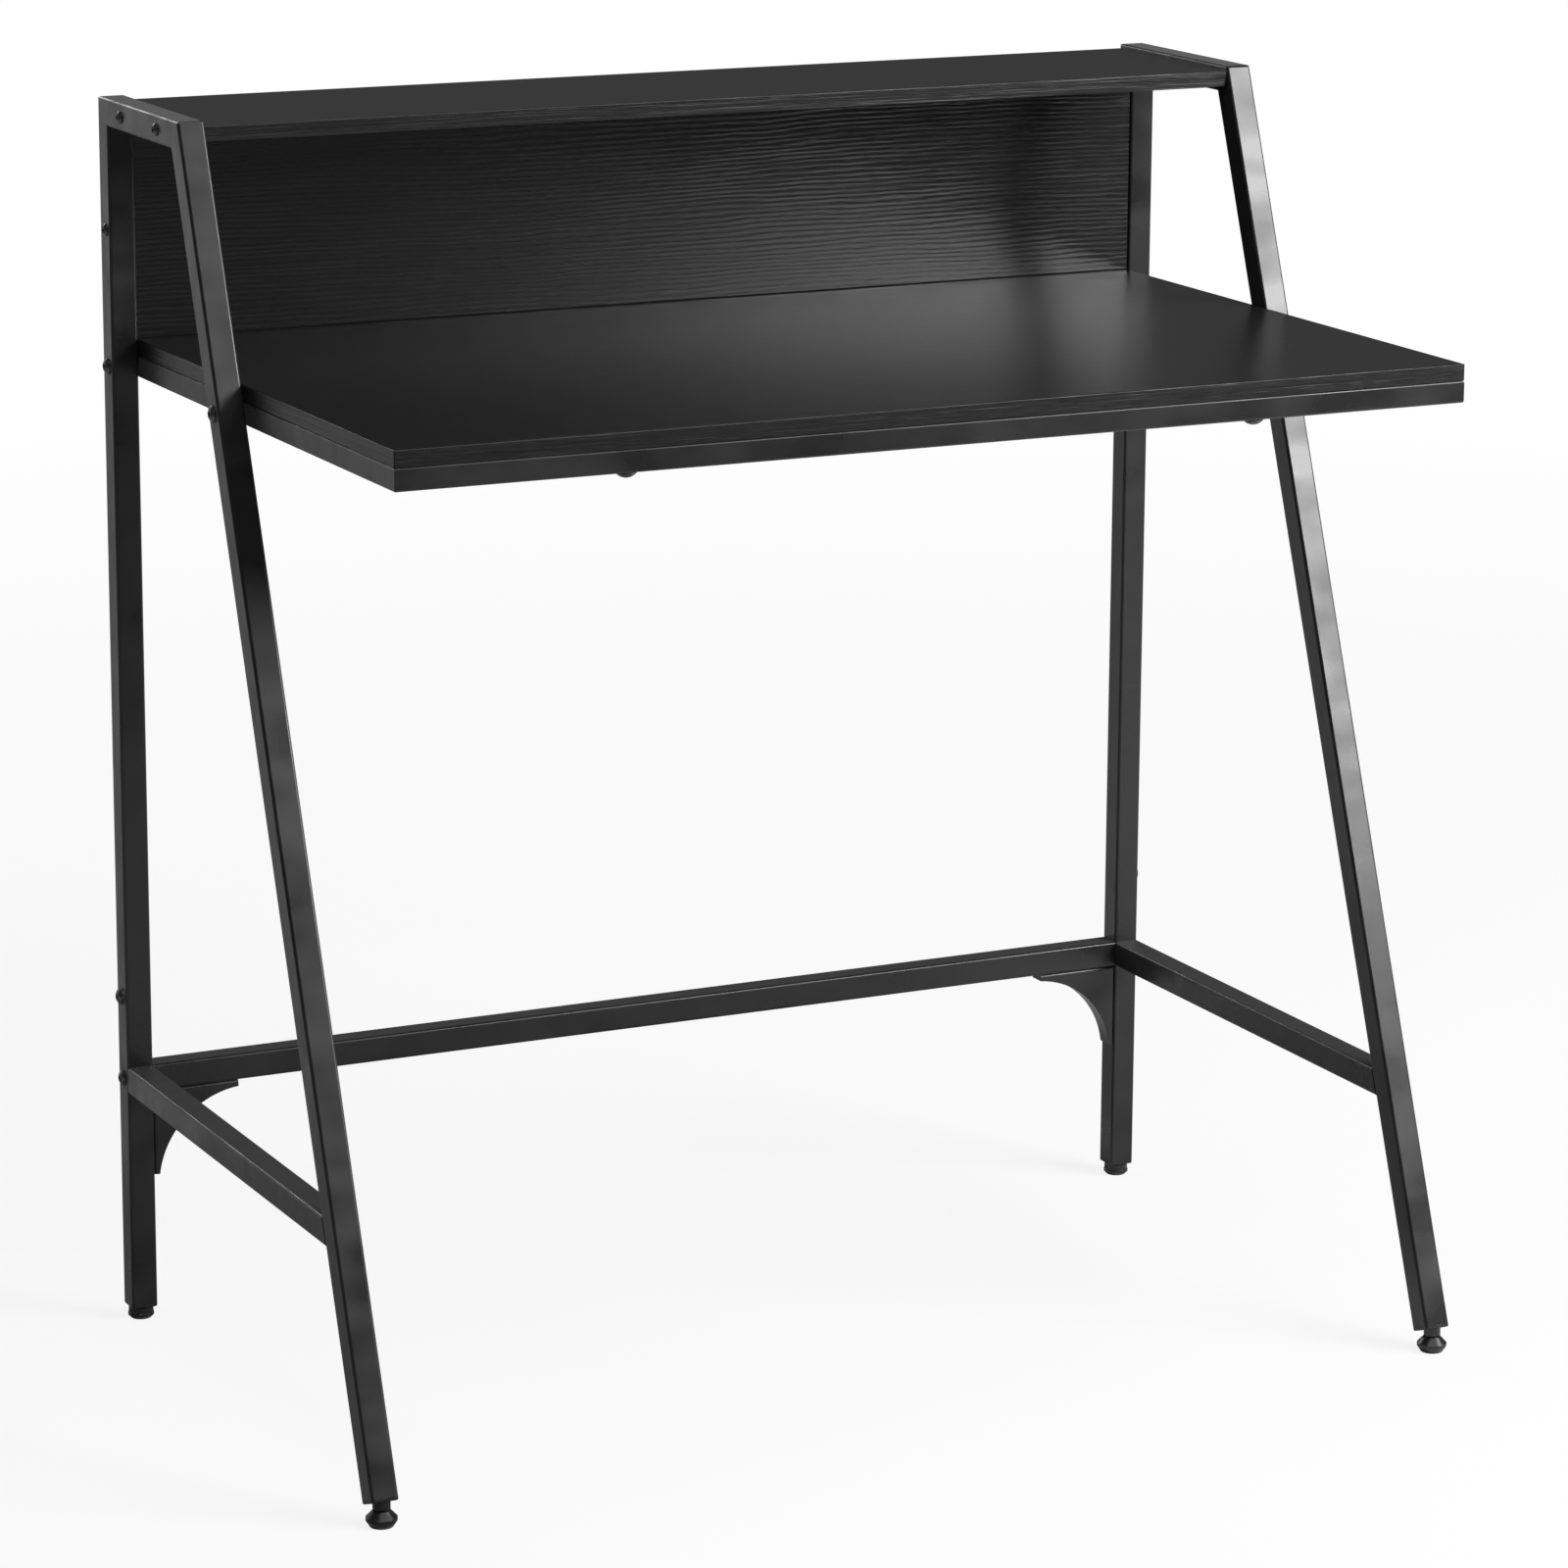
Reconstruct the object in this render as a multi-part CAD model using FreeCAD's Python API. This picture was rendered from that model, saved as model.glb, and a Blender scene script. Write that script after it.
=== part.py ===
import FreeCAD, Part
import os
from math import atan2, cos, radians, sin, sqrt, tan

# Computer desk with a raised shelf, in millimetres.
# X runs to the right of a person sitting at it, Y runs to the rear, Z runs up.
# The origin is on the floor, below the middle of the desk's box.

os.makedirs("parts", exist_ok=True)
V = FreeCAD.Vector
X_AXIS, Y_AXIS, Z_AXIS = V(1, 0, 0), V(0, 1, 0), V(0, 0, 1)

# Overall sizes; the bolt heads on the side frames' outer faces are beyond the width
overall_width = 860.0
overall_height = 920.0
overall_depth = 507.0

# Square steel tube of the side frames and the rear stretcher
frame_tube = 20.0
frame_wall = 1.2
frame_corner = 2.0
weld_corner = 2.5

# Front legs: how far forward of the desk's rear face their front face is
front_leg_floor_reach = 505.0
front_leg_top_reach = 165.0

# Height of the lower rails' top face, and of the tubes' lower ends
lower_rail_top = 198.5
rear_leg_end = 12.0
front_foot_end = 16.3

# Boards, and how far the side frames rise above the desktop
board_thickness = 12.0
band_thickness = 1.0
band_round = 0.8
frame_rise = 175.0
shelf_set_down = 3.5
panel_set_back = 2.0
panel_gap = 1.0

# Tube frame below the desktop
under_tube = 16.0
under_wall = 1.2
under_corner = 1.5

# Pressed corner gussets below the rear stretcher, hollow from behind
gusset_reach = 67.5
gusset_drop = 65.5
gusset_tip_height = 5.0
gusset_foot_width = 4.0
gusset_arc_radius = 70.0
gusset_depth = 14.0
gusset_sheet = 1.5
gusset_bend = 2.2
gusset_front_recess = 0.4

# Threaded plates welded into the ends of the rear stretcher
end_plate_thickness = 4.0

# Bolts through the frame, with domed heads and a hexagon socket
bolt_diameter = 6.0
bolt_head_diameter = 12.0
bolt_head_height = 3.6
bolt_head_rim = 1.0
socket_width = 4.0
socket_depth = 2.0
stretcher_bolt_length = 32.0
under_bolt_length = 27.0
spare_bolt_length = 12.0
spare_bolt_height = 251.5

# Screws into the edges of the boards, with domed heads and a cross slot
screw_diameter = 4.0
screw_head_diameter = 9.0
screw_head_height = 3.0
screw_head_rim = 0.8
screw_length = 45.0
cross_length = 5.0
cross_width = 1.2
cross_depth = 1.6
shelf_screw_rear = 48.0
shelf_screw_front = 122.0

# Bolts up through the under-frame into the desktop
desk_bolt_spacing = 482.0
desk_head_diameter = 14.5
desk_head_height = 4.4
desk_head_rim = 1.0
desk_bolt_length = 24.0
board_nut_diameter = 9.5
board_nut_length = 10.0

# Nuts inside the under-frame and the legs
nut_width = 10.0
nut_thickness = 5.0
rivet_flange_diameter = 11.0
rivet_flange_thickness = 0.8
rivet_body_diameter = 9.0
rivet_body_length = 13.0

# Clearances: round a bolt in plain metal, and round a thread or a pin in its seat
bolt_clearance = 0.3
thread_clearance = 0.06
insert_clearance = 0.1
overrun = 1.0

# Plastic inserts in the legs' lower ends
insert_height = 16.0
insert_flange = 2.5
insert_round = 1.2
insert_nut_width = 13.0
insert_nut_height = 6.5

# Screw-in levelling glides of the rear legs
stem_diameter = 8.0
stem_length = 33.0
stem_seat_depth = 5.0
stem_tip_chamfer = 0.8
glide_gap = 0.3
glide_diameter = 19.5
glide_waist_diameter = 18.6
glide_sole_diameter = 15.0
glide_rim_low = 2.2
glide_rim_high = 4.2
glide_round = 0.5

# Tilting pads of the front legs, on a ball below an upright collar of the insert
pad_diameter = 22.0
pad_sole_diameter = 16.5
pad_rim_low = 4.3
pad_rim_high = 6.5
pad_neck_diameter = 12.5
pad_height = 11.5
ball_diameter = 9.0
ball_height = 7.0
ball_clearance = 0.08
neck_diameter = 4.8
collar_diameter = 12.5
collar_bottom = 12.7
mouth_slope = 48.0

# Places that follow from the sizes above
half_width = overall_width / 2
inner_half = half_width - frame_tube
leg_centre = half_width - frame_tube / 2
rear_face = overall_depth / 2
front_face = -overall_depth / 2
rear_leg_front = rear_face - frame_tube
rear_leg_middle = rear_face - frame_tube / 2
lean = atan2(front_leg_floor_reach - front_leg_top_reach, overall_height)
rail_middle = lower_rail_top - frame_tube / 2
top_bar_middle = overall_height - frame_tube / 2
desktop_height = overall_height - frame_rise
board_under = desktop_height - board_thickness
under_middle = board_under - under_tube / 2
under_bottom = board_under - under_tube
shelf_top = overall_height - shelf_set_down
shelf_under = shelf_top - board_thickness
shelf_front = rear_face - front_leg_top_reach
panel_front = rear_leg_front + panel_set_back
panel_middle = panel_front + board_thickness / 2
panel_under = desktop_height + panel_gap
panel_screw_height = (desktop_height + shelf_under) / 2
glide_height = rear_leg_end - insert_flange - glide_gap
far = overall_height + overall_width


def front_leg_face(height):
    """Y of the front legs' front face at a height."""
    return rear_face - front_leg_floor_reach + height * tan(lean)


def front_leg_axis(height):
    """Y of the front legs' middle line at a height."""
    return front_leg_face(height) + frame_tube / 2 / cos(lean)


def pad_place(height):
    """Point on the upright middle line of the right front foot's pad."""
    return V(leg_centre, front_leg_axis(collar_bottom), height)


def box(low, high):
    """Box between two corners."""
    size = high - low
    return Part.makeBox(size.x, size.y, size.z, low)


def turned_to(shape, origin, axis):
    """Shape made along +Z, turned to another axis and put at a point."""
    moved = shape.copy()
    moved.Placement = FreeCAD.Placement(origin, FreeCAD.Rotation(Z_AXIS, axis))
    return moved


def cylinder(diameter, start, end):
    """Cylinder between two points."""
    along = end - start
    return Part.makeCylinder(diameter / 2, along.Length, start, along)


def mirrored(shape):
    """The same shape on the other side of the desk."""
    return shape.mirror(V(0, 0, 0), X_AXIS)


def both_sides(*solids):
    """Right-hand solids followed by their left-hand twins."""
    return list(solids) + [mirrored(s) for s in solids]


def half_space(point, normal):
    """Large block on one side of a plane."""
    block = Part.makeBox(far * 2, far * 2, far, V(-far, -far, 0))
    return turned_to(block, point, normal)


def square_bar(size, corner, length):
    """Solid bar of rounded square section along +Z."""
    bar = Part.makeBox(size, size, length, V(-size / 2, -size / 2, 0))
    uprights = [e for e in bar.Edges if e.BoundBox.XLength + e.BoundBox.YLength < corner]
    return bar.makeFillet(corner, uprights)


def square_tube(size, wall, corner, length):
    """Hollow tube of rounded square section along +Z."""
    bore = square_bar(size - wall * 2, corner - wall, length + overrun * 2)
    bore.translate(V(0, 0, -overrun))
    return square_bar(size, corner, length).cut(bore)


def corner_waste(corner, first, second, radius):
    """What is ground off a sharp corner between two directions in a plane of constant X."""
    middle = (first + second).normalize()
    half_angle = first.getAngle(second) / 2
    reach = radius / tan(half_angle)
    centre = corner + middle * (radius / sin(half_angle))
    outline = [corner, corner + first * reach, centre, corner + second * reach, corner]
    face = Part.Face(Part.makePolygon([p - X_AXIS * far for p in outline]))
    block = face.extrude(X_AXIS * far * 2)
    return block.cut(Part.makeCylinder(radius, far * 2, centre - X_AXIS * far, X_AXIS))


def cross_hole(diameter, x_from, x_to, y, z):
    """Round hole along X."""
    return cylinder(diameter, V(x_from, y, z), V(x_to, y, z))


def dome_head(diameter, height, rim):
    """Domed screw head on the XY plane."""
    radius = diameter / 2
    crown = height - rim
    bend = (radius * radius + crown * crown) / (crown * 2)
    middle = V(bend * sin(atan2(radius, bend - crown) / 2), 0, 0)
    middle.z = height - bend + bend * cos(atan2(radius, bend - crown) / 2)
    arc = Part.Arc(V(radius, 0, rim), middle, V(0, 0, height)).toShape()
    sides = Part.makePolygon([V(0, 0, height), V(0, 0, 0), V(radius, 0, 0), V(radius, 0, rim)])
    return Part.Face(Part.Wire(sides.Edges + [arc])).revolve(V(0, 0, 0), Z_AXIS, 360)


def hexagon(width, height):
    """Hexagonal bar along +Z, measured across its flats."""
    corner = width / 2 / cos(radians(30))
    points = [V(corner * cos(radians(60 * n)), corner * sin(radians(60 * n)), 0) for n in range(7)]
    return Part.Face(Part.makePolygon(points)).extrude(Z_AXIS * height)


def socket_bolt(length):
    """Bolt with a domed head above the XY plane and its shank below."""
    head = dome_head(bolt_head_diameter, bolt_head_height, bolt_head_rim)
    shank = cylinder(bolt_diameter, V(0, 0, -length), V(0, 0, bolt_head_rim))
    socket = hexagon(socket_width, bolt_head_height)
    socket.translate(V(0, 0, bolt_head_height - socket_depth))
    return head.fuse(shank).cut(socket).removeSplitter()


def cross_screw(length):
    """Screw with a domed head above the XY plane and its shank below."""
    head = dome_head(screw_head_diameter, screw_head_height, screw_head_rim)
    shank = cylinder(screw_diameter, V(0, 0, -length), V(0, 0, screw_head_rim))
    arm = V(cross_length / 2, cross_width / 2, 0)
    top = V(0, 0, screw_head_height)
    floor = V(0, 0, screw_head_height - cross_depth)
    first = box(floor - arm, top + arm)
    second = first.copy()
    second.rotate(V(0, 0, 0), Z_AXIS, 90)
    return head.fuse(shank).cut(first).cut(second).removeSplitter()


def rear_leg():
    """Upright tube of the right side frame, mitred to the top bar."""
    tube = square_tube(frame_tube, frame_wall, frame_corner, overall_height - rear_leg_end)
    tube.translate(V(leg_centre, rear_leg_middle, rear_leg_end))
    top_corner = V(0, rear_face, overall_height)
    tube = tube.cut(half_space(top_corner, V(0, -1, 1)))
    tube = tube.cut(corner_waste(top_corner, -Y_AXIS, -Z_AXIS, weld_corner))
    hole = bolt_diameter + bolt_clearance * 2
    for height in (rail_middle, under_middle):
        tube = tube.cut(cross_hole(hole, inner_half - overrun, half_width + overrun, rear_leg_middle,
                                   height))
    screw_hole = screw_diameter + bolt_clearance * 2
    tube = tube.cut(cross_hole(screw_hole, inner_half - overrun, half_width + overrun, panel_middle,
                               panel_screw_height))
    spare_hole = rivet_body_diameter + thread_clearance * 2
    spare_depth = half_width - frame_wall - overrun
    return tube.cut(cross_hole(spare_hole, spare_depth, half_width + overrun, rear_leg_middle,
                               spare_bolt_height))


def top_mitre():
    """Plane between the top bar and the front leg: a point and the direction towards the bar."""
    outer = V(0, front_leg_face(overall_height), overall_height)
    inner_height = overall_height - frame_tube
    inner = V(0, front_leg_face(inner_height) + frame_tube / cos(lean), inner_height)
    along = inner - outer
    return outer, V(0, -along.z, along.y)


def top_bar():
    """Short tube along the top of the right side frame."""
    tube = square_tube(frame_tube, frame_wall, frame_corner, overall_depth)
    tube = turned_to(tube, V(leg_centre, rear_face, top_bar_middle), -Y_AXIS)
    rear_corner = V(0, rear_face, overall_height)
    tube = tube.cut(half_space(rear_corner, V(0, 1, -1)))
    tube = tube.cut(corner_waste(rear_corner, -Y_AXIS, -Z_AXIS, weld_corner))
    outer, towards_bar = top_mitre()
    tube = tube.cut(half_space(outer, -towards_bar))
    down_leg = V(0, -sin(lean), -cos(lean))
    tube = tube.cut(corner_waste(outer, Y_AXIS, down_leg, weld_corner))
    hole = screw_diameter + bolt_clearance * 2
    for back in (shelf_screw_rear, shelf_screw_front):
        tube = tube.cut(cross_hole(hole, inner_half - overrun, half_width + overrun, rear_face - back,
                                   top_bar_middle))
    return tube


def front_leg_point(distance):
    """Point on the right front leg's middle line, a distance up from the foot's end."""
    foot = V(leg_centre, front_leg_axis(front_foot_end), front_foot_end)
    return foot + V(0, sin(lean), cos(lean)) * distance


def front_leg():
    """Raked tube of the right side frame."""
    tube = square_tube(frame_tube, frame_wall, frame_corner, overall_height / cos(lean))
    tube = turned_to(tube, front_leg_point(insert_flange), V(0, sin(lean), cos(lean)))
    outer, towards_bar = top_mitre()
    tube = tube.cut(half_space(outer, towards_bar))
    down_leg = V(0, -sin(lean), -cos(lean))
    tube = tube.cut(corner_waste(outer, Y_AXIS, down_leg, weld_corner))
    hole = bolt_diameter + bolt_clearance * 2
    return tube.cut(cross_hole(hole, inner_half - overrun, half_width + overrun,
                               front_leg_axis(under_middle), under_middle))


def side_stretcher():
    """Low tube from the rear leg to the front leg of the right side frame."""
    tube = square_tube(frame_tube, frame_wall, frame_corner, overall_depth)
    tube = turned_to(tube, V(leg_centre, rear_leg_front, rail_middle), -Y_AXIS)
    leg_rear = V(0, front_leg_face(rail_middle) + frame_tube / cos(lean), rail_middle)
    return tube.cut(half_space(leg_rear, V(0, -cos(lean), sin(lean))))


def rear_stretcher():
    """Low tube between the rear legs."""
    tube = square_tube(frame_tube, frame_wall, frame_corner, inner_half * 2)
    return turned_to(tube, V(-inner_half, rear_leg_middle, rail_middle), X_AXIS)


def end_plate():
    """Threaded plate just inside the rear stretcher's right end."""
    side = frame_tube - frame_wall * 2
    plate = square_bar(side, frame_corner, end_plate_thickness)
    plate = turned_to(plate, V(inner_half, rear_leg_middle, rail_middle), -X_AXIS)
    thread = bolt_diameter + thread_clearance * 2
    return plate.cut(cross_hole(thread, inner_half - end_plate_thickness - overrun, inner_half + overrun,
                                rear_leg_middle, rail_middle))


def gusset():
    """Pressed bracket in the corner below the rear stretcher, with a round lower edge."""
    top = lower_rail_top - frame_tube
    foot = top - gusset_drop
    tip = inner_half - gusset_reach
    front = rear_leg_front + gusset_front_recess
    tip_corner = V(tip, front, top - gusset_tip_height)
    foot_corner = V(inner_half - gusset_foot_width, front, foot)
    half_chord = (foot_corner - tip_corner) / 2
    to_corner = V(half_chord.z, 0, -half_chord.x).normalize() * -1
    sagitta = gusset_arc_radius - sqrt(gusset_arc_radius ** 2 - half_chord.Length ** 2)
    middle = tip_corner + half_chord + to_corner * sagitta
    straight = Part.makePolygon([foot_corner, V(inner_half, front, foot), V(inner_half, front, top),
                                 V(tip, front, top), tip_corner])
    arc = Part.Arc(tip_corner, middle, foot_corner).toShape()
    outline = Part.Wire(straight.Edges + [arc])
    inner = outline.makeOffset2D(-gusset_sheet)
    block = Part.Face(outline).extrude(Y_AXIS * gusset_depth)
    bends = [e for e in block.Edges if is_front_bend(e.BoundBox, front, top)]
    block = block.makeFillet(gusset_bend, bends)
    hollow = Part.Face(inner).extrude(Y_AXIS * (gusset_depth + overrun))
    hollow.translate(Y_AXIS * gusset_sheet)
    return block.cut(hollow)


def is_front_bend(bounds, front, top):
    """True for the two bent edges of the gusset's front face."""
    on_front = bounds.YMax < front + gusset_bend
    along_rail = bounds.ZMin > top - gusset_bend
    along_leg = bounds.XMin > inner_half - gusset_bend
    return on_front and (along_rail or along_leg)


def under_frame_tube(start, end, inward):
    """Mitred tube of the under-frame between two outer corners."""
    along = (end - start).normalize()
    middle = start + inward * (under_tube / 2)
    tube = turned_to(square_tube(under_tube, under_wall, under_corner, (end - start).Length), middle, along)
    tube = tube.cut(half_space(start, inward - along))
    return tube.cut(half_space(end, inward + along))


def under_frame():
    """The four under-frame tubes by name."""
    right_front = V(inner_half, front_face, under_middle)
    left_front = V(-inner_half, front_face, under_middle)
    right_rear = V(inner_half, rear_face, under_middle)
    left_rear = V(-inner_half, rear_face, under_middle)
    tubes = {
        "under_frame_front": under_frame_tube(left_front, right_front, Y_AXIS),
        "under_frame_rear": under_frame_tube(left_rear, right_rear, -Y_AXIS),
        "under_frame_right": under_frame_tube(right_front, right_rear, -X_AXIS),
    }
    hole = bolt_diameter + bolt_clearance * 2
    for name in ("under_frame_front", "under_frame_rear"):
        for point in desk_bolt_points():
            tubes[name] = tubes[name].cut(cylinder(hole, point - Z_AXIS * overrun,
                                                   point + Z_AXIS * (under_tube + overrun)))
    for y in under_bolt_places():
        tubes["under_frame_right"] = tubes["under_frame_right"].cut(
            cross_hole(hole, inner_half - under_wall - overrun, inner_half + overrun, y, under_middle))
    tubes["under_frame_left"] = mirrored(tubes["under_frame_right"])
    return tubes


def under_bolt_places():
    """Y of the two bolts on each side that hang the under-frame on the legs."""
    return rear_leg_middle, front_leg_axis(under_middle)


def desk_bolt_points():
    """Places of the four desktop bolts on the under-frame's lower face."""
    rows = (front_face + under_tube / 2, rear_face - under_tube / 2)
    return [V(side * desk_bolt_spacing / 2, y, under_bottom) for y in rows for side in (-1, 1)]


def under_nut():
    """Nut welded inside the under-frame's right tube, made at the origin along -X."""
    thread = bolt_diameter + thread_clearance * 2
    nut = hexagon(nut_width, nut_thickness)
    return nut.cut(cylinder(thread, -Z_AXIS * overrun, Z_AXIS * (nut_thickness + overrun)))


def desktop():
    """Desktop board without its edge bands."""
    core = box(V(-inner_half + band_thickness, front_face + band_thickness, board_under),
               V(inner_half - band_thickness, rear_face - band_thickness, desktop_height))
    for point in desk_bolt_points():
        start = V(point.x, point.y, board_under)
        core = core.cut(cylinder(board_nut_diameter + thread_clearance * 2, start - Z_AXIS * overrun,
                                 start + Z_AXIS * board_nut_length))
    return core


def strip(low, high, outward, corners):
    """One edge band, rounded along its outer edges and, where it turns a corner, at its ends."""
    body = box(low, high)
    middle = (low + high) * 0.5
    height = high.z - low.z
    outer = [e for e in body.Edges if (e.BoundBox.Center - middle).dot(outward) > band_round / 2
             and (corners or e.Length > height)]
    return body.makeFillet(band_round, outer)


def bands(left, right, front, rear, bottom, top, with_ends):
    """Edge bands round a board, the front and rear ones running the full width."""
    low, high = front + band_thickness, rear - band_thickness
    strips = [strip(V(left, front, bottom), V(right, low, top), -Y_AXIS, with_ends),
              strip(V(left, high, bottom), V(right, rear, top), Y_AXIS, with_ends)]
    if with_ends:
        strips.append(strip(V(left, low, bottom), V(left + band_thickness, high, top), -X_AXIS, False))
        strips.append(strip(V(right - band_thickness, low, bottom), V(right, high, top), X_AXIS, False))
    return strips


def upper_shelf():
    """Shelf board between the top bars, without its edge bands."""
    core = box(V(-inner_half, shelf_front + band_thickness, shelf_under),
               V(inner_half, rear_face - band_thickness, shelf_top))
    depth = screw_length - frame_tube
    hole = screw_diameter + thread_clearance * 2
    for back in (shelf_screw_rear, shelf_screw_front):
        pilot = cross_hole(hole, inner_half - depth - overrun, inner_half + overrun, rear_face - back,
                           top_bar_middle)
        core = core.cut(pilot).cut(mirrored(pilot))
    return core


def back_panel():
    """Upright board between the rear legs, from just above the desktop to the shelf."""
    core = box(V(-inner_half, panel_front, panel_under),
               V(inner_half, panel_front + board_thickness, shelf_under))
    depth = screw_length - frame_tube
    hole = screw_diameter + thread_clearance * 2
    pilot = cross_hole(hole, inner_half - depth - overrun, inner_half + overrun, panel_middle,
                       panel_screw_height)
    return core.cut(pilot).cut(mirrored(pilot))


def insert_body():
    """Plug and flange of a leg insert, along +Z, with the flange's outer face on the XY plane."""
    side = frame_tube - frame_wall * 2 - insert_clearance * 2
    flange = square_bar(frame_tube, frame_corner, insert_flange)
    flange = flange.makeFillet(insert_round, [e for e in flange.Edges if e.BoundBox.ZMax < insert_round])
    plug = square_bar(side, frame_corner - frame_wall, insert_height)
    plug.translate(Z_AXIS * insert_flange)
    return flange.fuse(plug).removeSplitter()


def rear_insert():
    """Insert of the right rear leg, with a threaded way for the glide and a pocket for its nut."""
    body = insert_body()
    top = insert_flange + insert_height
    way = stem_diameter + thread_clearance * 2
    body = body.cut(cylinder(way, -Z_AXIS * overrun, Z_AXIS * (top + overrun)))
    pocket = square_bar(insert_nut_width, frame_corner - frame_wall, insert_nut_height + overrun)
    pocket.translate(Z_AXIS * (top - insert_nut_height))
    body = body.cut(pocket)
    return turned_to(body, V(leg_centre, rear_leg_middle, rear_leg_end - insert_flange), Z_AXIS)


def rear_insert_nut():
    """Square nut captive in the right rear insert."""
    bottom = rear_leg_end + insert_height - insert_nut_height
    width = insert_nut_width - insert_clearance * 2
    nut = square_bar(width, frame_corner - frame_wall, insert_nut_height)
    thread = stem_diameter + thread_clearance * 2
    nut = nut.cut(cylinder(thread, -Z_AXIS * overrun, Z_AXIS * (insert_nut_height + overrun)))
    return turned_to(nut, V(leg_centre, rear_leg_middle, bottom), Z_AXIS)


def front_insert():
    """Insert of the right front leg, with an upright collar, neck and ball below its flange."""
    body = turned_to(insert_body(), front_leg_point(0), V(0, sin(lean), cos(lean)))
    collar_top = front_foot_end + collar_diameter / 2 * tan(lean) + insert_flange / 2
    collar = cylinder(collar_diameter, pad_place(collar_bottom), pad_place(collar_top))
    neck = cylinder(neck_diameter, pad_place(ball_height), pad_place(collar_bottom + overrun))
    ball = Part.makeSphere(ball_diameter / 2, pad_place(ball_height))
    return body.fuse([collar, neck, ball]).removeSplitter()


def revolved(points):
    """Solid of revolution about Z from radius and height pairs."""
    outline = Part.makePolygon([V(r, 0, z) for r, z in points + points[:1]])
    return Part.Face(outline).revolve(V(0, 0, 0), Z_AXIS, 360)


def glide_stem():
    """Threaded stem of the right rear glide."""
    bottom = glide_height - stem_seat_depth
    radius = stem_diameter / 2
    stem = revolved([(0, 0), (radius, 0), (radius, stem_length - stem_tip_chamfer),
                     (radius - stem_tip_chamfer, stem_length), (0, stem_length)])
    return turned_to(stem, V(leg_centre, rear_leg_middle, bottom), Z_AXIS)


def glide_base():
    """Round base of the right rear glide."""
    rim, waist = glide_diameter / 2, glide_waist_diameter / 2
    base = revolved([(0, 0), (glide_sole_diameter / 2, 0), (rim, glide_rim_low), (rim, glide_rim_high),
                     (waist, glide_rim_high + glide_round), (waist, glide_height - glide_round),
                     (waist - glide_round, glide_height), (0, glide_height)])
    seat = cylinder(stem_diameter + thread_clearance * 2, V(0, 0, glide_height - stem_seat_depth),
                    V(0, 0, glide_height + overrun))
    return turned_to(base.cut(seat), V(leg_centre, rear_leg_middle, 0), Z_AXIS)


def front_pad():
    """Tilting pad of the right front leg, snapped over the ball."""
    pad = revolved([(0, 0), (pad_sole_diameter / 2, 0), (pad_diameter / 2, pad_rim_low),
                    (pad_diameter / 2, pad_rim_high), (pad_neck_diameter / 2, pad_height),
                    (0, pad_height)])
    socket = Part.makeSphere(ball_diameter / 2 + ball_clearance, V(0, 0, ball_height))
    mouth = Part.makeCone(0, ball_diameter * tan(radians(mouth_slope)), ball_diameter,
                          V(0, 0, ball_height))
    return turned_to(pad.cut(socket).cut(mouth), pad_place(0), Z_AXIS)


def outer_bolt(bolt, y, z):
    """A bolt put into the right side frame from outside."""
    return turned_to(bolt, V(half_width, y, z), X_AXIS)


def fasteners():
    """Groups of identical fasteners by name."""
    under = [outer_bolt(socket_bolt(under_bolt_length), y, under_middle) for y in under_bolt_places()]
    nuts = [turned_to(under_nut(), V(inner_half - under_wall, y, under_middle), -X_AXIS)
            for y in under_bolt_places()]
    shelf = [outer_bolt(cross_screw(screw_length), rear_face - back, top_bar_middle)
             for back in (shelf_screw_rear, shelf_screw_front)]
    panel = outer_bolt(cross_screw(screw_length), panel_middle, panel_screw_height)
    stretcher = outer_bolt(socket_bolt(stretcher_bolt_length), rear_leg_middle, rail_middle)
    spare = turned_to(socket_bolt(spare_bolt_length),
                      V(half_width + rivet_flange_thickness, rear_leg_middle, spare_bolt_height), X_AXIS)
    return {
        "under_frame_bolts": both_sides(*under),
        "under_frame_nuts": both_sides(*nuts),
        "shelf_screws": both_sides(*shelf),
        "back_panel_screws": both_sides(panel),
        "stretcher_bolts": both_sides(stretcher),
        "spare_bolts": both_sides(spare),
        "spare_rivet_nuts": both_sides(rivet_nut()),
        "desktop_bolts": [turned_to(desk_bolt(), point, -Z_AXIS) for point in desk_bolt_points()],
        "desktop_insert_nuts": [board_nut(point) for point in desk_bolt_points()],
    }


def rivet_nut():
    """Rivet nut in the outer wall of the right rear leg."""
    outer = half_width + rivet_flange_thickness
    flange = cross_hole(rivet_flange_diameter, half_width, outer, rear_leg_middle, spare_bolt_height)
    sleeve = cross_hole(rivet_body_diameter, outer - rivet_body_length, outer, rear_leg_middle,
                        spare_bolt_height)
    thread = bolt_diameter + thread_clearance * 2
    way = cross_hole(thread, outer - rivet_body_length - overrun, outer + overrun, rear_leg_middle,
                     spare_bolt_height)
    return flange.fuse(sleeve).cut(way).removeSplitter()


def desk_bolt():
    """Bolt with a wide domed head above the XY plane and its shank below."""
    head = dome_head(desk_head_diameter, desk_head_height, desk_head_rim)
    shank = cylinder(bolt_diameter, V(0, 0, -desk_bolt_length), V(0, 0, desk_head_rim))
    socket = hexagon(socket_width, desk_head_height)
    socket.translate(V(0, 0, desk_head_height - socket_depth))
    return head.fuse(shank).cut(socket).removeSplitter()


def board_nut(point):
    """Insert nut in the desktop above a desktop bolt."""
    start = V(point.x, point.y, board_under)
    end = start + Z_AXIS * board_nut_length
    sleeve = cylinder(board_nut_diameter, start, end)
    thread = bolt_diameter + thread_clearance * 2
    return sleeve.cut(cylinder(thread, start - Z_AXIS * overrun, end + Z_AXIS * overrun))


def save(name, solids):
    """Write one node, as one solid or as a group of separate solids."""
    shape = solids[0] if len(solids) == 1 else Part.makeCompound(solids)
    shape.exportStep("parts/" + name + ".step")


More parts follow.
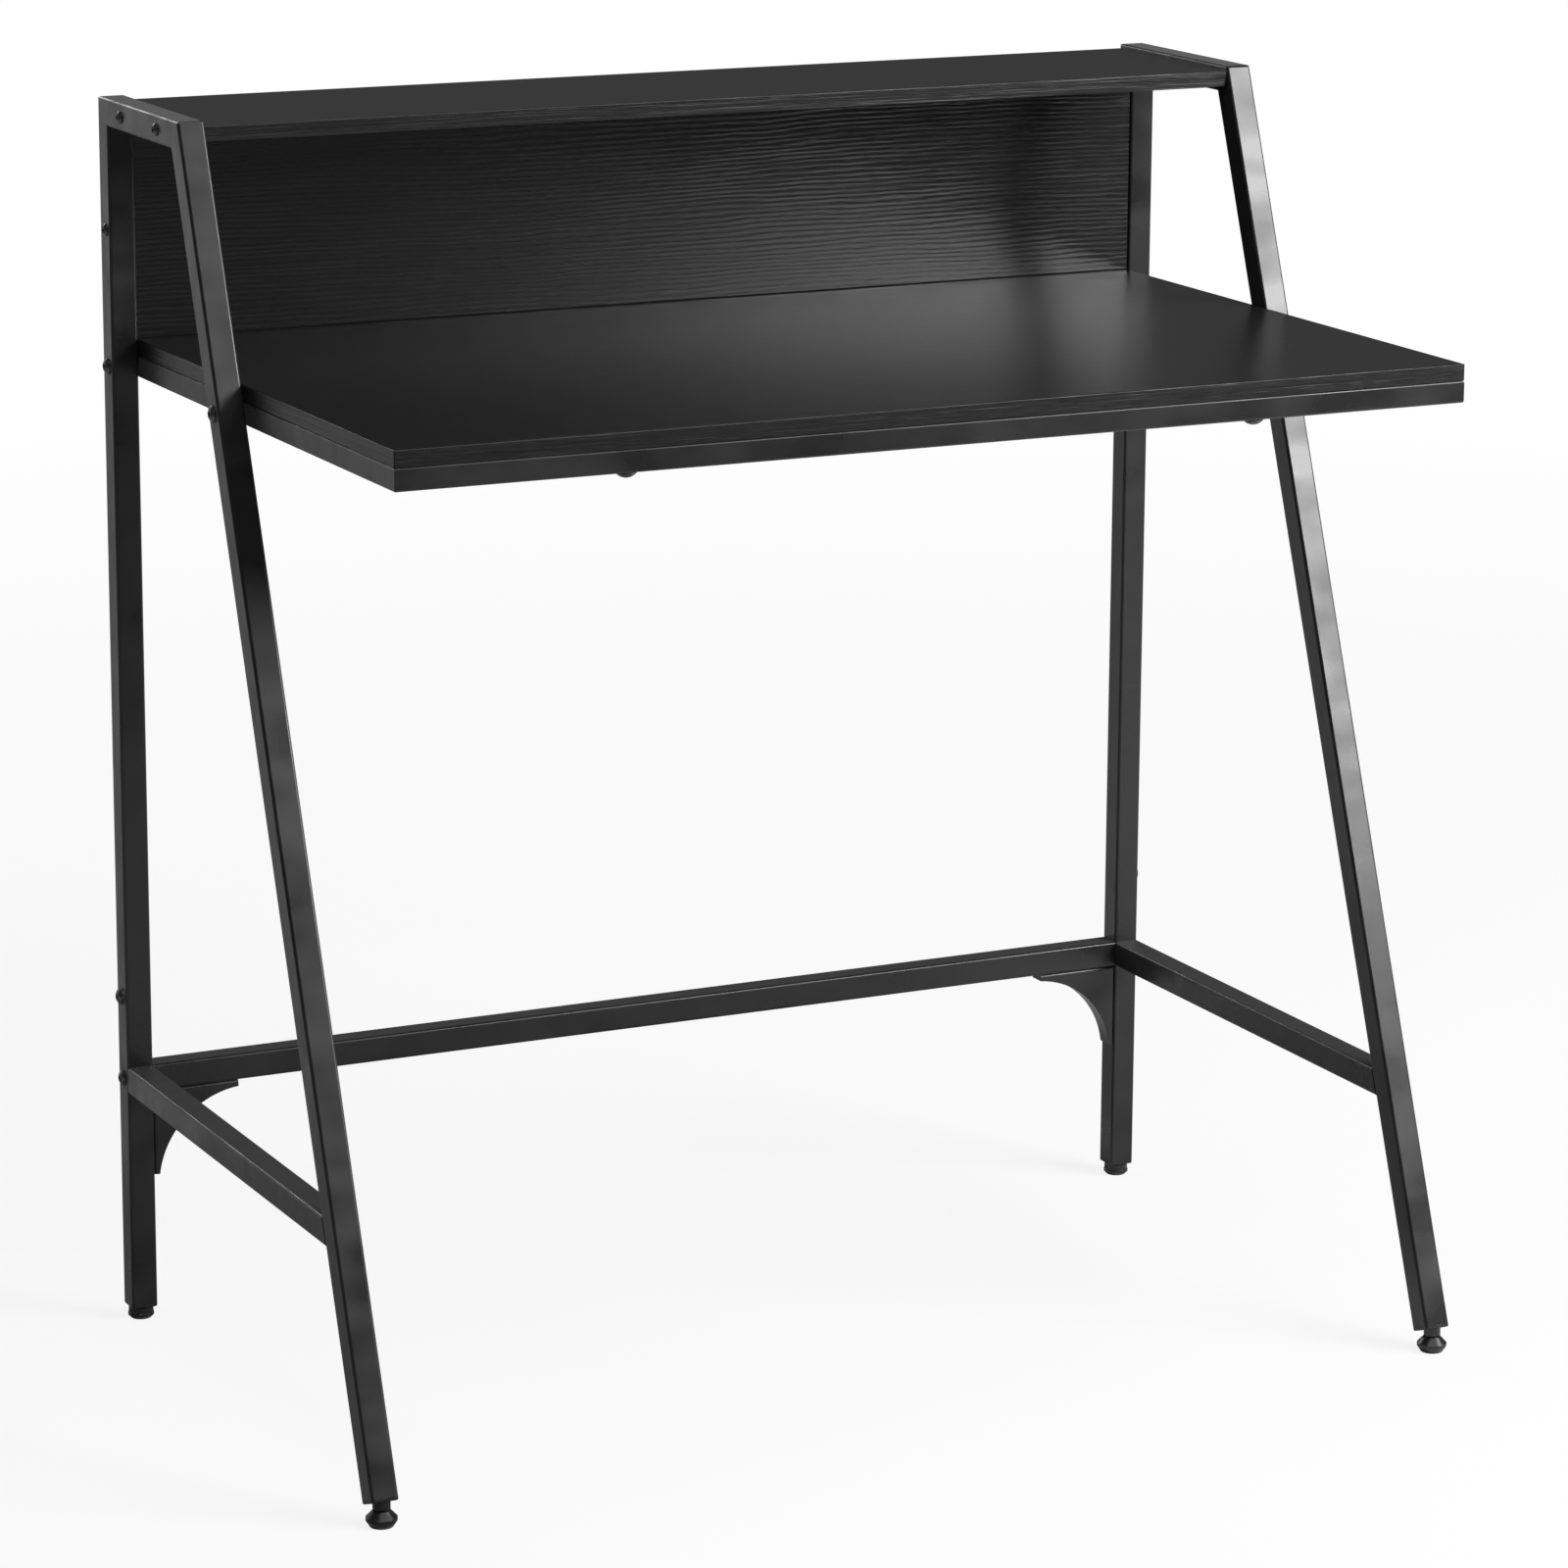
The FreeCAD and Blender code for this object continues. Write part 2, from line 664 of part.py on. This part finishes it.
def save_sides(name, shape):
    """Write a right-hand piece and its left-hand twin as two nodes."""
    save("right_" + name, [shape])
    save("left_" + name, [mirrored(shape)])


for piece in (rear_leg, front_leg, top_bar, side_stretcher, gusset, rear_insert, front_insert,
              glide_stem, glide_base, front_pad):
    node = {"rear_insert": "rear_leg_insert", "front_insert": "front_leg_insert",
            "glide_stem": "rear_glide_stem", "glide_base": "rear_glide_base",
            "front_pad": "front_foot_pad"}.get(piece.__name__, piece.__name__)
    save_sides(node, piece())

save("rear_stretcher", [rear_stretcher()])
save("stretcher_end_plates", both_sides(end_plate()))
for name, tube in under_frame().items():
    save(name, [tube])
save("desktop_board", [desktop()])
save("desktop_edge_bands", bands(-inner_half, inner_half, front_face, rear_face, board_under,
                                 desktop_height, True))
save("upper_shelf", [upper_shelf()])
save("shelf_edge_bands", bands(-inner_half, inner_half, shelf_front, rear_face, shelf_under, shelf_top,
                               False))
save("back_panel", [back_panel()])
save("rear_insert_nuts", both_sides(rear_insert_nut()))
for name, group in fasteners().items():
    save(name, group)
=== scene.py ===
import math

import bpy
from mathutils import Matrix, Vector

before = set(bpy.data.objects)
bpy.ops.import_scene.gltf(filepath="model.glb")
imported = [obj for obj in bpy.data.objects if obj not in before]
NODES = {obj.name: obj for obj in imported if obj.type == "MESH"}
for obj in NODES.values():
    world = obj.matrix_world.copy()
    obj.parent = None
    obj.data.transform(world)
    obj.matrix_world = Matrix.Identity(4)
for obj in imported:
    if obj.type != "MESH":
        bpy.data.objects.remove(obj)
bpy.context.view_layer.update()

# All lengths are in metres and all angles in radians where nothing else is said.
FULL = (0.0, 1.0)
WHITE = (1, 1, 1, 1)

# ---------------------------------------------------------------- camera
# Worked out from the desk's corners in the photograph, which is a square of FRAME_PX pixels.
FRAME_PX = 1600
FOCAL_PX = 5864.45
SENSOR_MM = 36
CLIP_END = 200
CAMERA_AT = Vector((-1.79718, -3.66268, 1.42304))
CAMERA_YAW, CAMERA_PITCH, CAMERA_ROLL = 0.45555, -0.22998, 0.00538
CAMERA_SHIFT_Y = -0.0375


def add_camera():
    """The photograph's camera. Yaw turns from the back towards the right, pitch upwards."""
    data = bpy.data.cameras.new("camera")
    data.sensor_width = SENSOR_MM
    data.lens = data.sensor_width * FOCAL_PX / FRAME_PX
    data.shift_y = CAMERA_SHIFT_Y
    data.clip_end = CLIP_END
    camera = bpy.data.objects.new("camera", data)
    bpy.context.scene.collection.objects.link(camera)
    cos_pitch = math.cos(CAMERA_PITCH)
    forward = Vector((math.sin(CAMERA_YAW) * cos_pitch, math.cos(CAMERA_YAW) * cos_pitch,
                      math.sin(CAMERA_PITCH)))
    right = Vector((math.cos(CAMERA_YAW), -math.sin(CAMERA_YAW), 0))
    up = right.cross(forward)
    cos_roll, sin_roll = math.cos(CAMERA_ROLL), math.sin(CAMERA_ROLL)
    turn = Matrix((right * cos_roll + up * sin_roll, up * cos_roll - right * sin_roll, -forward))
    camera.matrix_world = Matrix.Translation(CAMERA_AT) @ turn.transposed().to_4x4()
    bpy.context.scene.camera = camera


# ---------------------------------------------------------------- node helpers
class Graph:
    """A material's node tree, with short calls for the nodes that the finishes share."""

    def __init__(self, name):
        self.material = bpy.data.materials.new(name)
        self.material.use_nodes = True
        self.tree = self.material.node_tree
        self.shader = self.tree.nodes["Principled BSDF"]

    def add(self, kind, **sockets):
        """A new node; each keyword is the name and the value of an input."""
        node = self.tree.nodes.new(kind)
        for name, value in sockets.items():
            node.inputs[name.replace("_", " ")].default_value = value
        return node

    def link(self, out, into):
        self.tree.links.new(out, into)

    def place(self):
        """The point that is shaded, in its object's own coordinates."""
        return self.add("ShaderNodeTexCoord").outputs["Object"]

    def noise(self, place, scale, detail=2.0, roughness=0.5):
        """Soft random values around 0.5; scale counts the features in a metre."""
        node = self.add("ShaderNodeTexNoise", Scale=scale, Detail=detail, Roughness=roughness)
        self.link(place, node.inputs["Vector"])
        return node.outputs["Fac"]

    def streaks(self, place, scales, detail=2.0, roughness=0.5):
        """Noise with a scale of its own along each axis."""
        node = self.add("ShaderNodeMapping", Scale=scales)
        self.link(place, node.inputs["Vector"])
        return self.noise(node.outputs["Vector"], 1.0, detail, roughness)

    def math(self, kind, first, second=None):
        """One calculation on one or two values, each a number or a node's output."""
        node = self.tree.nodes.new("ShaderNodeMath")
        node.operation = kind
        for socket, value in zip(node.inputs, (first, second)):
            if value is None:
                continue
            if isinstance(value, (int, float)):
                socket.default_value = value
            else:
                self.link(value, socket)
        return node.outputs["Value"]

    def spread(self, value, span, target):
        """The value moved from one span to another and held inside it."""
        node = self.add("ShaderNodeMapRange", From_Min=span[0], From_Max=span[1],
                        To_Min=target[0], To_Max=target[1])
        self.link(value, node.inputs["Value"])
        return node.outputs["Result"]

    def across(self, place):
        """Distance across the grain, the same on upright and level faces."""
        node = self.add("ShaderNodeSeparateXYZ")
        self.link(place, node.inputs["Vector"])
        return self.math("ADD", node.outputs["Y"], node.outputs["Z"])

    def upright(self, level_share):
        """1 on upright faces, falling to level_share on level ones."""
        node = self.add("ShaderNodeSeparateXYZ")
        self.link(self.add("ShaderNodeNewGeometry").outputs["True Normal"], node.inputs["Vector"])
        return self.spread(self.math("ABSOLUTE", node.outputs["Z"]), FULL, (1.0, level_share))

    def blend(self, factor, colours):
        """Two colours mixed by a value."""
        node = self.tree.nodes.new("ShaderNodeMix")
        node.data_type = "RGBA"
        self.link(factor, node.inputs["Factor"])
        for socket, colour in zip(("A", "B"), colours):
            node.inputs[socket].default_value = (*colour, 1)
        return node.outputs["Result"]

    def bump(self, height, depth, strength, onto=None):
        """A normal that shows the height, up to depth high."""
        node = self.add("ShaderNodeBump", Strength=strength, Distance=depth)
        self.link(height, node.inputs["Height"])
        if onto is not None:
            self.link(onto, node.inputs["Normal"])
        return node.outputs["Normal"]

    def finish(self, colour=None, roughness=None, normal=None, **sockets):
        """The material, with the given outputs and values on its shader."""
        if colour is not None:
            self.link(colour, self.shader.inputs["Base Color"])
        if roughness is not None:
            self.link(roughness, self.shader.inputs["Roughness"])
        if normal is not None:
            self.link(normal, self.shader.inputs["Normal"])
        for name, value in sockets.items():
            self.shader.inputs[name.replace("_", " ")].default_value = value
        return self.material


def seen_directly(tree):
    """1 for what the camera sees itself or through something clear, 0 for reflections."""
    rays = tree.nodes.new("ShaderNodeLightPath")
    either = tree.nodes.new("ShaderNodeMath")
    either.operation = "MAXIMUM"
    tree.links.new(rays.outputs["Is Camera Ray"], either.inputs[0])
    tree.links.new(rays.outputs["Is Transmission Ray"], either.inputs[1])
    return either.outputs["Value"]


# ---------------------------------------------------------------- finishes
GRAIN_PERIOD = 0.0038       # from one pressed line to the next
LEVEL_RELIEF = 0.03         # share of the pressed relief that level faces keep
LEVEL_ROUGHER = 0.12        # what level faces add to the laminate's roughness


def laminate():
    """Black laminate with a wood grain pressed into it, running along the desk."""
    g = Graph("black_laminate_finish")
    place = g.place()
    across = g.across(place)
    sway = g.streaks(place, (4, 20, 20))
    wiggle = g.streaks(place, (26, 170, 170))
    bend = g.math("ADD", g.math("MULTIPLY", sway, 24.0), g.math("MULTIPLY", wiggle, 4.0))
    turns = g.math("ADD", g.math("MULTIPLY", across, 2 * math.pi / GRAIN_PERIOD), bend)
    lines = g.spread(g.math("SINE", turns), (-1.0, 1.0), FULL)
    breaks = g.streaks(place, (14, 110, 110))
    ridges = g.math("MULTIPLY", lines, g.spread(breaks, (0.35, 0.6), (0.5, 1.0)))
    pores = g.streaks(place, (70, 900, 900), roughness=0.6)
    relief = g.math("ADD", g.math("MULTIPLY", ridges, 0.75), pores)
    normal = g.bump(g.math("MULTIPLY", relief, g.upright(LEVEL_RELIEF)), depth=0.00013,
                    strength=0.8)
    colour = g.blend(ridges, ((0.0060, 0.0060, 0.0063), (0.0095, 0.0095, 0.0100)))
    level = g.spread(g.upright(0.0), FULL, (LEVEL_ROUGHER, 0.0))
    rough = g.math("ADD", g.spread(ridges, FULL, (0.165, 0.205)), level)
    return g.finish(colour, rough, normal, Specular_IOR_Level=0.62)


def edge_band():
    """Black edge banding with fine streaks along it."""
    g = Graph("edge_band_finish")
    place = g.place()
    lines = g.streaks(place, (7, 7, 420), detail=3.0, roughness=0.65)
    strong = g.spread(lines, (0.35, 0.65), FULL)
    fine = g.streaks(place, (90, 90, 1800))
    relief = g.math("ADD", strong, g.math("MULTIPLY", fine, 0.3))
    normal = g.bump(relief, depth=0.00022, strength=0.7)
    colour = g.blend(strong, ((0.0040, 0.0040, 0.0042), (0.0075, 0.0075, 0.0079)))
    rough = g.spread(fine, (0.3, 0.7), (0.28, 0.38))
    return g.finish(colour, rough, normal, Specular_IOR_Level=0.35)


def powder_coat():
    """Satin black powder coat, faintly clouded, with the fine orange peel of baked paint."""
    g = Graph("powder_coat_finish")
    place = g.place()
    clouds = g.noise(place, 26.0, detail=1.0, roughness=0.4)
    smears = g.streaks(place, (14, 60, 34), detail=1.5, roughness=0.4)
    mix = g.math("ADD", g.math("MULTIPLY", clouds, 0.5), g.math("MULTIPLY", smears, 0.5))
    middle = (0.38, 0.62)
    shade = g.spread(mix, middle, FULL)
    colour = g.blend(shade, ((0.0065, 0.0065, 0.0068), (0.0110, 0.0110, 0.0115)))
    rough = g.spread(mix, middle, (0.26, 0.40))
    sway = g.bump(mix, depth=0.0007, strength=0.5)
    normal = g.bump(g.noise(place, 1400.0), depth=0.00005, strength=0.7, onto=sway)
    return g.finish(colour, rough, normal, Specular_IOR_Level=0.45, Sheen_Weight=0.12,
                    Sheen_Roughness=0.4)


def moulded_plastic():
    """Black moulded plastic of the feet and inserts."""
    g = Graph("black_plastic_finish")
    place = g.place()
    grain = g.noise(place, 2200.0)
    clouds = g.noise(place, 160.0)
    colour = g.blend(clouds, ((0.006, 0.006, 0.0065), (0.012, 0.012, 0.0125)))
    rough = g.spread(clouds, (0.35, 0.65), (0.22, 0.32))
    normal = g.bump(grain, depth=0.00003, strength=0.5)
    return g.finish(colour, rough, normal, Specular_IOR_Level=0.5)


def black_steel():
    """Black coating of the screws and bolts."""
    g = Graph("black_steel_finish")
    clouds = g.noise(g.place(), 600.0, detail=3.0)
    colour = g.blend(clouds, ((0.012, 0.012, 0.0125), (0.028, 0.028, 0.029)))
    rough = g.spread(clouds, (0.35, 0.65), (0.22, 0.34))
    normal = g.bump(clouds, depth=0.00004, strength=0.4)
    return g.finish(colour, rough, normal, Specular_IOR_Level=1.0)


def zinc_steel():
    """Bright zinc plating of the nuts inside the tubes and boards."""
    g = Graph("zinc_steel_finish")
    spangle = g.noise(g.place(), 900.0, detail=3.0)
    colour = g.blend(spangle, ((0.45, 0.46, 0.47), (0.62, 0.62, 0.6)))
    rough = g.spread(spangle, (0.35, 0.65), (0.28, 0.45))
    normal = g.bump(spangle, depth=0.00004, strength=0.4)
    return g.finish(colour, rough, normal, Metallic=1.0)


def dress():
    """Each slot that a piece carries gets the finish of the same name."""
    finishes = {"black_laminate": laminate(), "edge_band": edge_band(),
                "powder_coat": powder_coat(), "black_plastic": moulded_plastic(),
                "black_steel": black_steel(), "zinc_steel": zinc_steel()}
    for body in NODES.values():
        slots = body.data.materials
        for i, carried in enumerate(slots):
            slots[i] = finishes[carried.name.split(".")[0]]


# ---------------------------------------------------------------- studio
DESK_MIDDLE = (0, 0, 0.6)
DESK_UPPER = (0, 0, 0.8)
WORLD_STRENGTH = 0.1
FLOOR_HALF = 90.0
PAPER_GREY = (0.75, 0.75, 0.75, 1)
PAPER_NEAR, PAPER_FAR = 1.2, 4.0    # the floor turns white between these distances
PAPER_NEAR_WHITE = 0.86             # share of white nearer than that
PAINTED_CARD_LIFT = 0.002                   # height of the painted reflection card's lying parts above the floor
# faint glow of the painted reflection card, painted reflection and not a lamp
PAINTED_REFLECTION_GLOW = 0.2


def area_light(name, at, aim, size, watts):
    data = bpy.data.lights.new(name, "AREA")
    data.shape = "RECTANGLE"
    data.size, data.size_y = size
    data.energy = watts
    light = bpy.data.objects.new(name, data)
    bpy.context.scene.collection.objects.link(light)
    light.location = at
    light.rotation_euler = (Vector(aim) - Vector(at)).to_track_quat("-Z", "Y").to_euler()


def sky_point(azimuth, elevation, distance, about=DESK_MIDDLE):
    """A place seen from the desk: azimuth from the front towards the right, in degrees."""
    a, e = math.radians(azimuth), math.radians(elevation)
    return Vector(about) + distance * Vector((math.sin(a) * math.cos(e), -math.cos(a) * math.cos(e),
                                              math.sin(e)))


def add_lights():
    area_light("key_softbox", sky_point(46.7, 26, 3.4), DESK_MIDDLE, (1.75, 1.25), watts=145)
    area_light("top_softbox", (0, -0.7, 3.5), DESK_MIDDLE, (2.8, 2.4), watts=45)
    area_light("edge_strip", sky_point(30.6, 26, 3.45), DESK_MIDDLE, (0.24, 1.25), watts=7)
    area_light("near_wing", sky_point(24, 28, 3.6), DESK_MIDDLE, (0.5, 0.9), watts=2.4)
    area_light("rim_softbox", sky_point(-170, 18, 4.0, DESK_UPPER), DESK_UPPER, (1.3, 0.7),
               watts=16)
    area_light("back_glow", (-2.6, 4.0, 1.2), (-0.4, 0, 0.8), (3.6, 2.6), watts=16)


def add_floor():
    """Paper that is lit as grey, but that the camera sees as nearly white."""
    half = FLOOR_HALF
    mesh = bpy.data.meshes.new("floor")
    mesh.from_pydata([(-half, -half, 0), (half, -half, 0), (half, half, 0), (-half, half, 0)], [],
                     [(0, 1, 2, 3)])
    floor = bpy.data.objects.new("floor", mesh)
    bpy.context.scene.collection.objects.link(floor)
    g = Graph("floor_paper")
    g.finish(Base_Color=PAPER_GREY, Roughness=0.9, Specular_IOR_Level=0.0)
    glow = g.add("ShaderNodeEmission", Color=WHITE, Strength=1.0)
    seen = seen_directly(g.tree)
    mix = g.tree.nodes.new("ShaderNodeMixShader")
    away = g.tree.nodes.new("ShaderNodeVectorMath")
    away.operation = "LENGTH"
    g.link(g.place(), away.inputs[0])
    share = g.spread(away.outputs["Value"], (PAPER_NEAR, PAPER_FAR), (PAPER_NEAR_WHITE, 1.0))
    g.link(g.math("MULTIPLY", seen, share), mix.inputs["Fac"])
    g.link(g.shader.outputs["BSDF"], mix.inputs[1])
    g.link(glow.outputs["Emission"], mix.inputs[2])
    g.link(mix.outputs["Shader"], g.tree.nodes["Material Output"].inputs["Surface"])
    mesh.materials.append(g.material)


def add_painted_reflection_card():
    """Painted reflection: a dark card that only reflections see and that glows faintly though it is
    no lamp, standing in front and lying before the desk; where it lies under the desk it is painted
    shadow of the desk on the floor.
    """
    left, right, front, top = -2.2, 1.3, -2.6, 1.3
    low = PAINTED_CARD_LIFT
    standing = [(left, front, low), (right, front, low), (right, front, top), (left, front, top)]
    before = [(left, -1.1, low), (0.4, -1.1, low)]
    # This part lies under the desk and is painted shadow of the desk on the floor, as reflections
    # see it.
    painted_floor_shadow = [(-0.9, -0.4, low), (0.33, -0.4, low), (0.33, 0.62, low), (-0.9, 0.62, low)]
    mesh = bpy.data.meshes.new("flag")
    mesh.from_pydata(standing + before + painted_floor_shadow, [], [(0, 1, 2, 3), (0, 4, 5, 1), (6, 7, 8, 9)])
    flag = bpy.data.objects.new("flag", mesh)
    bpy.context.scene.collection.objects.link(flag)
    g = Graph("painted_reflection_card_finish")
    # The card's dark colour and its faint glow are painted reflection; only reflections see them.
    painted_reflection_dark = g.blend(g.noise(g.place(), 400.0), ((0.004, 0.004, 0.004), (0.008, 0.008, 0.008)))
    mesh.materials.append(g.finish(painted_reflection_dark, Roughness=0.9, Specular_IOR_Level=0.0,
                                   Emission_Color=WHITE, Emission_Strength=PAINTED_REFLECTION_GLOW))
    for rays in ("camera", "diffuse", "shadow", "transmission"):
        setattr(flag, "visible_" + rays, False)


def add_world():
    """A dim surround that the camera sees as pure white."""
    world = bpy.data.worlds.new("studio")
    bpy.context.scene.world = world
    world.use_nodes = True
    tree = world.node_tree
    lit = tree.nodes["Background"]
    lit.inputs["Color"].default_value = WHITE
    lit.inputs["Strength"].default_value = WORLD_STRENGTH
    white = tree.nodes.new("ShaderNodeBackground")
    white.inputs["Color"].default_value = WHITE
    seen = seen_directly(tree)
    mix = tree.nodes.new("ShaderNodeMixShader")
    tree.links.new(seen, mix.inputs["Fac"])
    tree.links.new(lit.outputs["Background"], mix.inputs[1])
    tree.links.new(white.outputs["Background"], mix.inputs[2])
    tree.links.new(mix.outputs["Shader"], tree.nodes["World Output"].inputs["Surface"])


add_camera()
dress()
add_lights()
add_floor()
add_painted_reflection_card()
add_world()
bpy.context.scene.view_settings.view_transform = "Standard"
